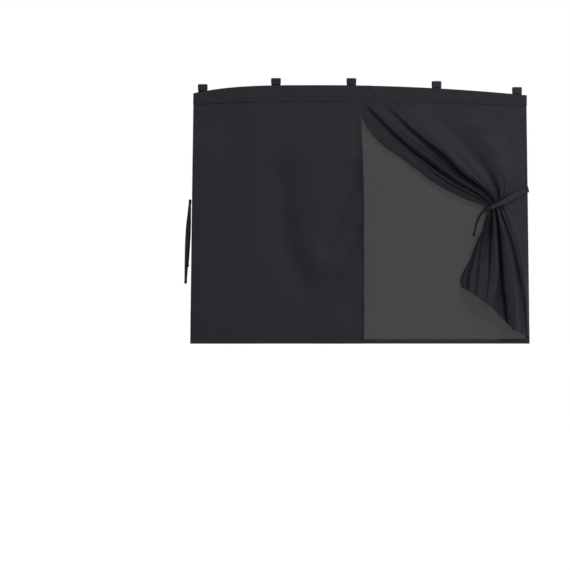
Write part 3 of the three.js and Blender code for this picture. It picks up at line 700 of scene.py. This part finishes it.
# How far a valley's bottom lies under the next fold, as a share of the way to it
LEANING_FOLDS = {
    "thin_fold": (0.6, 0.5), "first_valley": (0.6, 0.55), "second_valley": (0.6, 0.8),
    "third_valley": (0, 0.85),
}
# How finely the cloth is cut between one fold line and the next
GAP_STEPS = [6, 14, 10, 10, 12, 12, 12, 12, 13, 13, 10, 12]
INNER_SEAM_FOLD = 1.5
HEM_STAGE = 1.95
TUCKED = 0.1
SIDE_TIE_Z = 318
SIDE_HEM_Z = 17


def along_route(points, share):
    """A point at a share of a smooth route through the points."""
    lengths = [math.dist(a, b) for a, b in zip(points, points[1:])]
    wanted = min(max(share, 0), 1) * sum(lengths)
    part = 0
    while part < len(lengths) - 1 and wanted > lengths[part]:
        wanted -= lengths[part]
        part += 1
    t = min(wanted / lengths[part], 1)
    before = points[max(part - 1, 0)]
    start = points[part]
    end = points[part + 1]
    after = points[min(part + 2, len(points) - 1)]
    place = []
    for a, b, c, d in zip(before, start, end, after):
        curve = 2 * b + (c - a) * t + (2 * a - 5 * b + 4 * c - d) * t**2
        place.append(0.5 * (curve + (3 * b - a - 3 * c + d) * t**3))
    return place


def staged(heights, stage):
    """The height at a stage between those of FOLD_STAGES."""
    for k in range(len(FOLD_STAGES) - 1):
        if stage <= FOLD_STAGES[k + 1]:
            share = (stage - FOLD_STAGES[k]) / (FOLD_STAGES[k + 1] - FOLD_STAGES[k])
            return lerp(heights[k], heights[k + 1], smooth(0, 1, share))
    return heights[-1]


def fold_points(stage):
    """Where the fold lines are at one stage: 0 at the header, 1 at the tie, 2 at the hem.
    Each point has x, z, the forward distance, and for a valley its sharpness and how far
    its bottom lies under the next fold."""
    points = []
    for name, swag, skirt, heights in FOLD_LINES:
        x, z = along_route(swag, stage) if stage <= 1 else along_route(skirt, stage - 1)
        sharp = SHARP_FOLDS.get(name, (0, 0))
        lean = LEANING_FOLDS.get(name, (0, 0))
        lean = lerp(*lean, smooth(0.9, 1.1, stage)) * smooth(0.02, 0.3, stage)
        points.append((x, z, staged(heights, stage), lerp(*sharp, smooth(0.9, 1.1, stage)), lean))
    top = header_seam(HALF_WIDTH_TOP) - 2
    z = lerp(top, SIDE_TIE_Z, stage) if stage <= 1 else lerp(SIDE_TIE_Z, SIDE_HEM_Z, stage - 1)
    points.append((side_x(z) - 1, z, 0, 0, 0))
    return points


fold_memory = {}


def right_place(fold, stage):
    """Where the cloth is at a fold line, or between two of them, and at a stage. Stages
    below 0 are the part that is tucked up under the header."""
    tucked = max(-stage, 0)
    stage = max(stage, 0)
    if stage not in fold_memory:
        fold_memory[stage] = fold_points(stage)
    points = fold_memory[stage]
    first = min(max(int(fold), 0), len(points) - 2)
    t = fold - first
    x1, z1, low, sharp_low, lean_low = points[first]
    x2, z2, high, sharp_high, lean_high = points[first + 1]
    x = lerp(x1, x2, t)
    z = lerp(z1, z2, t)
    soft_rise = (1 - math.cos(math.pi * t)) / 2
    sharp_rise = math.sin(math.pi * t / 2)
    if low < high:
        # Out of a valley, whose near side starts under the fold
        forward = lerp(low, high, lerp(soft_rise, sharp_rise, sharp_low))
        under = lean_low * (1 - t) ** 2 * (1 - 4.2 * t)
        x += (x2 - x1) * under
        z += (z2 - z1) * under
    else:
        # Down into a valley, whose bottom goes on under the fold after it
        forward = lerp(low, high, lerp(soft_rise, sharp_rise, sharp_high))
        under = lean_high * t**3
        x3, z3 = points[min(first + 2, len(points) - 1)][:2]
        x += (x3 - x2) * under
        z += (z3 - z2) * under
    loose = smooth(0, 0.2, stage)
    forward += loose * 0.9 * crumple(fold * 1.1, stage * 3.5, 11)
    forward += loose * 0.35 * crumple(fold * 3.3, stage * 5, 12)
    # Small pleats that fan out from the tie, further up than down
    reach = 0.3 if stage < 1 else 0.12
    fan = math.exp(-((abs(stage - 1) / reach) ** 1.5)) * smooth(1, 3, fold) * smooth(11.5, 10, fold)
    pleats = math.sin(fold * 3 * math.pi + 2.5 * crumple(fold / 2, stage * 2, 13))
    forward += fan * 2.1 * pleats
    # Puckers under the header's seam, at the inner seam and along the hem
    forward += wrinkles(0.6, x, 9, z, 60, 14) * math.exp(-stage * 14) * smooth(0, 0.02, stage)
    forward -= 0.5 * bump(fold - INNER_SEAM_FOLD, 0.1) * loose
    forward += 0.4 * smooth(HEM_STAGE - 0.005, HEM_STAGE + 0.005, stage)
    forward += 0.3 * crumple(fold * 9, 0, 15) * bump(stage - HEM_STAGE + 0.005, 0.03)
    forward += 1.2 * smooth(0.04, 0, tucked) + smooth(0, 0.12, stage)
    if tucked:
        z = lerp(z, top_edge(x) - CURTAIN_TOP_INSET, tucked / TUCKED)
    return x, CURTAIN_Y - forward, z


fold_steps = [0]
for k, count in enumerate(GAP_STEPS):
    fold_steps += [k + share for share in steps(count)[1:]]
stage_steps = [-TUCKED, -0.04, -0.02, *steps(100, 0, 1), *steps(90, 1.01, 1.94)]
stage_steps += [1.946, HEM_STAGE, 1.956, 1.97, 1.985, 2]
right_curtain = cut_of_cloth(
    "right_curtain_cloth", fold_steps, stage_steps, right_place, blackout_cloth, CLOTH_THICKNESS)
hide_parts("right_curtain")

right_stitching = bmesh.new()
hem_row = [(fold, HEM_STAGE - 0.0025) for fold in steps(300, 1, 11.98)]
inner_row = [(INNER_SEAM_FOLD, stage) for stage in steps(300, 0.03, 1.94)]
sew(right_stitching, right_place, hem_row, lift=0.42)
sew(right_stitching, right_place, inner_row, lift=0.42)
right_stitches = finished("right_curtain_stitching", right_stitching, thread)


# Header: one strip of the curtain cloth, folded over the top edge of all layers and sewn
# through them with two rows of stitches

HEADER_FRONT_Y = -7.1
HEADER_BACK_Y = -2.7
HEADER_TURN = 0.06
HEADER_SEAM_ROWS = (0.902, 0.982)
PULL_LINE = [(16, 529), (31, 509)]


def header_place(u, v):
    """The strip runs from its back seam up to the fold and down to its front seam."""
    nominal = lerp(-HALF_WIDTH_TOP, HALF_WIDTH_TOP, u)
    top = top_edge(nominal) - 0.3
    seam = header_seam(nominal)
    radius = (HEADER_BACK_Y - HEADER_FRONT_Y) / 2
    if abs(v - 0.5) > HEADER_TURN:
        z = lerp(seam, top - radius, min(v, 1 - v) / (0.5 - HEADER_TURN))
        y = HEADER_FRONT_Y if v > 0.5 else HEADER_BACK_Y
    else:
        angle = (0.5 - v) / HEADER_TURN * math.pi / 2
        z = top - radius * (1 - math.cos(angle))
        y = (HEADER_FRONT_Y + HEADER_BACK_Y) / 2 + radius * math.sin(angle)
    if v > 0.5:
        rise = z - seam
        loose = smooth(0, 12, rise) * smooth(0.5, 0.6, v)
        forward = wrinkles(0.5, nominal, 26, z, 18, 21) * loose
        forward += wrinkles(0.22, nominal, 4, rise, 14, 22) * bump(rise - 5, 5)
        for row in HEADER_SEAM_ROWS:
            forward -= 0.3 * bump(v - row, 0.011)
        # A short crease where the right curtain's folds pull at the strip
        pull = distance_to_line(PULL_LINE, nominal, z)
        forward -= 0.8 * bump(pull, 2.5)
        forward += 0.9 * bump(pull - 6, 4) * smooth(0, 10, rise)
        y -= max(forward, -0.5) + 0.3
    return nominal * side_x(z) / HALF_WIDTH_TOP, y, z


header_rows = [*steps(8, 0, 0.44), *steps(10, 0.452, 0.548)]
header_rows += [*steps(14, 0.56, 0.86), *steps(24, 0.88, 1)]
header = cut_of_cloth(
    "header_strip", steps(230), header_rows, header_place, blackout_cloth, CLOTH_THICKNESS)
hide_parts("header_band")

header_stitching = bmesh.new()
for row in HEADER_SEAM_ROWS:
    route = [(u, row) for u in steps(200, 0.003, 0.997)]
    sew(header_stitching, header_place, route, lift=0.38)
header_stitches = finished("header_stitching", header_stitching, thread)


# Tabs: dense webbing folded into a pocket for the magnet, closed at its sides, with a box
# of stitches. Both legs are sewn behind the header.

webbing = woven(
    "tab_webbing", dark=(0.012, 0.0115, 0.015), light=(0.024, 0.0225, 0.028),
    pitch=0.0013, sheen=0.08)
pale_thread = woven(
    "pale_thread", dark=(0.12, 0.12, 0.13), light=(0.2, 0.2, 0.21), pitch=0.0008, sheen=0.1)
WEBBING_THICKNESS = 0.8
TAB_HALF_WIDTH = 10
TAB_LEG = 24
TAB_BACK_Y = -0.45
TAB_FRONT_Y = -4.35
FRONT_LEG_Y = -1.65
POCKET_TOP = 13.1
STITCH_BOX = (7.4, 3.2, 13.4)
TAB_X = [-326, -174.084, MIDDLE_TAB, 159.088, 326]
PALE_BOXES = (3, 4, 5)

# The webbing in section, as y and height above the top edge: the back leg, the pocket's
# round top, its front and the front leg
pocket_middle = (TAB_FRONT_Y + TAB_BACK_Y) / 2
pocket_radius = (TAB_BACK_Y - TAB_FRONT_Y) / 2
tab_outline = [(TAB_BACK_Y, z) for z in (-TAB_LEG, -12, 0, 6, POCKET_TOP)]
tab_outline += [
    (pocket_middle + pocket_radius * math.cos(angle), POCKET_TOP + pocket_radius * math.sin(angle))
    for angle in (0.5, 1.05, 1.57, 2.09, 2.64)
]
tab_outline += [(TAB_FRONT_Y, z) for z in (POCKET_TOP, 8, 2.8)]
tab_outline += [(-3.7, 1.5), (-2.6, 0.7), (-1.8, -0.6)]
tab_outline += [(FRONT_LEG_Y, z) for z in (-6, -14, -TAB_LEG)]


def tab_place(x, base):
    def place(u, v):
        y, z = along_route(tab_outline, 1 - v)
        side = 2 * u - 1
        # The pocket is pinched shut at its sides
        pinch = smooth(0.72, 1, abs(side)) * smooth(0.8, 4, z)
        y = lerp(y, TAB_BACK_Y - (0.95 if y < -1.2 else 0), 0.8 * pinch)
        z -= 0.9 * smooth(0.8, 1, abs(side)) * smooth(9, 14, z)
        narrow = 1 - 0.05 * bump(z - 1, 3)
        return x + side * TAB_HALF_WIDTH * narrow, y, base + z
    return place


def tab_front_place(x, base):
    half_width, low, high = STITCH_BOX

    def place(u, v):
        return x + lerp(-half_width, half_width, u), TAB_FRONT_Y, base + lerp(high, low, v)
    return place


corners = [(0, 0), (1, 0), (1, 1), (0, 1), (0, 0), (1, 1)]
box_lines = [*zip(corners, corners[1:]), ((1, 0), (0, 1))]
for number, x in enumerate(TAB_X, 1):
    base = top_edge(x)
    tab = cut_of_cloth(
        f"tab_webbing_{number}", steps(20), steps(64), tab_place(x, base), webbing,
        WEBBING_THICKNESS)
    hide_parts(f"tab_{number}")
    box = bmesh.new()
    for start, end in box_lines:
        line = [(lerp(start[0], end[0], s), lerp(start[1], end[1], s)) for s in steps(8)]
        sew(box, tab_front_place(x, base), line, lift=0.5, pitch=2.1, gauge=0.8)
    box_thread = pale_thread if number in PALE_BOXES else thread
    stitches = finished(f"tab_stitching_{number}", box, box_thread)


# Magnets: a nickel-plated block lies loose in each tab's pocket. The blocks come from the
# CAD model as they are, and only get their finish here.

nickel = Finish("nickel_plate")
block_place = nickel.node("ShaderNodeTexCoord", {}, {}, "Object")
nickel_clouds = nickel.clouds(block_place, scale=300, detail=2)
nickel.shade(
    Base_Color=nickel.between(nickel_clouds, (0.5, 0.51, 0.53), (0.62, 0.62, 0.63)),
    Metallic=1.0,
    Roughness=0.22 + nickel_clouds * 0.2,
)
for number in range(1, 6):
    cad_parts[f"tab_magnet_{number}"].material_slots[0].material = nickel.material


# Tie ribbons: flat ribbon of the curtain cloth. The right one runs from the side edge
# round the gathered cloth to a knot, from which its two tails hang.

ribbon_cloth = woven(
    "ribbon_cloth", dark=(0.0088, 0.0095, 0.0124), light=(0.0148, 0.0158, 0.020),
    pitch=0.0005, sheen=0.03)
RIBBON_THICKNESS = 0.5


def ribbon_place(points, widths, facings):
    """Place of a ribbon through points. Its widths and the ways that its front faces are
    given at even shares of its run."""
    def listed(values, share):
        spot = share * (len(values) - 1)
        first = min(int(spot), len(values) - 2)
        return lerp(values[first], values[first + 1], spot - first)

    def place(u, v):
        centre = Vector(along_route(points, v))
        ahead = Vector(along_route(points, min(v + 0.004, 1)))
        behind = Vector(along_route(points, max(v - 0.004, 0)))
        run = (ahead - behind).normalized()
        facing = listed([Vector(f) for f in facings], v)
        across = run.cross(facing).normalized()
        out = across.cross(run).normalized()
        half = listed(widths, v) / 2
        side = 2 * u - 1
        cup = 0.5 * side * side + 0.25 * crumple(side * 1.5, v * 30, 31)
        return tuple(centre + across * (half * side) - out * cup)
    return place


def ribbon(name, points, widths, facings, length_steps):
    place = ribbon_place(points, widths, facings)
    return cut_of_cloth(name, steps(8), steps(length_steps), place, ribbon_cloth, RIBBON_THICKNESS)


def knot(name, centre, size, width):
    """A ribbon tied once round itself."""
    points = []
    for k in range(25):
        angle = 2 * math.pi * k / 24
        x = math.sin(angle) + 2 * math.sin(2 * angle)
        z = math.cos(angle) - 2 * math.cos(2 * angle)
        y = -math.sin(3 * angle)
        points.append((centre[0] + x * size, centre[1] + y * size, centre[2] + z * size * 1.25))
    facings = [Vector((p[0] - centre[0], -2.5 * size, p[2] - centre[2])) for p in points]
    return ribbon(name, points, [width] * 3, facings, length_steps=72)


# The right tie goes from the knot behind the gather to the side edge, turns there, and
# comes back over the front
wrap = [
    (262, -15, 279.5), (265, -9, 279), (272, -6.6, 281), (286, -6.4, 290), (318, -6.3, 306),
    (341, -6.2, 317.5), (346.5, -6.1, 319.5), (348.8, -7.4, 320), (348.2, -9.8, 320),
    (343, -11.4, 318.2), (330, -13.2, 311.5), (314, -16, 303.5), (301, -20.5, 296.5),
    (291, -22.4, 291), (281, -22.6, 286.8), (272, -21.5, 283), (265.5, -18.5, 280.5),
    (261.5, -14, 279),
]
FRONT = (0.05, -1, 0.25)
BACK = (0, 1, 0)
wrap_facings = [*[BACK] * 5, (1, 0.2, 0), *[FRONT] * 4, (-0.5, -1, 0.2), (-1, -0.2, 0)]
wrap_widths = [6, 8, 10, 12, 13, 13, 13, 13, 12.5, 11, 9.5, 7]
tie_wrap = ribbon("right_tie_wrap", wrap, wrap_widths, wrap_facings, length_steps=150)
tie_knot = knot("right_tie_knot", (260, -14.5, 278.5), size=1.5, width=4.5)
long_tail = [
    (258, -14.5, 277), (252, -13, 272), (246.5, -10.5, 262), (242, -8.4, 250), (239, -7.6, 238),
    (237, -7.4, 229),
]
long_tail_facings = [(0.3, -1, 0), (0.9, -1, 0), (0.7, -1, 0)]
long_tail_widths = [4, 6, 6.5, 6, 5, 3.5]
tie_tail = ribbon(
    "right_tie_tail", long_tail, long_tail_widths, long_tail_facings, length_steps=46)
tie_tail_knot = knot("right_tie_tail_knot", (236.5, -7.6, 226), size=0.85, width=3)
short_tail = [
    (261, -13.5, 276), (262, -11.5, 268), (261, -9.4, 257), (258, -8, 247), (255, -7.6, 238),
]
short_tail_facings = [(1, -0.6, 0), (1, -0.9, 0)]
short_tail_widths = [4, 6, 6, 5]
tie_short_tail = ribbon(
    "right_tie_short_tail", short_tail, short_tail_widths, short_tail_facings, length_steps=36)
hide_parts("tie_ribbon_right")

# The left tie isn't in use: it is sewn to the side edge at its middle, and both of its
# ends hang there
left_run = [
    (-361, -6.8, 131), (-359.5, -6.9, 165), (-358, -6.9, 205), (-356.4, -6.6, 240),
    (-354.2, -6.2, 270), (-352.4, -5.5, 290), (-352, -3.3, 299), (-352.2, -1.2, 291),
    (-353.6, -0.4, 270), (-355, -0.2, 240), (-356.4, -0.2, 205), (-357.6, -0.2, 165),
]
left_widths = [5, 7, 8.5, 9, 8.5, 6, 5.4, 6, 8.5, 9, 7.5, 5]
left_facings = [
    (0.3, -1, 0), (0.2, -1, 0), (0, -1, 0), (0, -1, 0), (0, -1, 0.2), (0, -0.4, 1), (0, 0.4, 1),
    (0, 1, 0.2), (0, 1, 0), (0.2, 1, 0),
]
left_tie_ribbon = ribbon(
    "left_tie_ribbon", left_run, left_widths, left_facings, length_steps=150)
left_tie_knots = [
    knot("left_tie_knot_1", (-361.2, -6.8, 128), size=0.9, width=3.2),
    knot("left_tie_knot_2", (-357.7, -0.2, 162), size=0.9, width=3.2),
]
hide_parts("tie_ribbon_left")
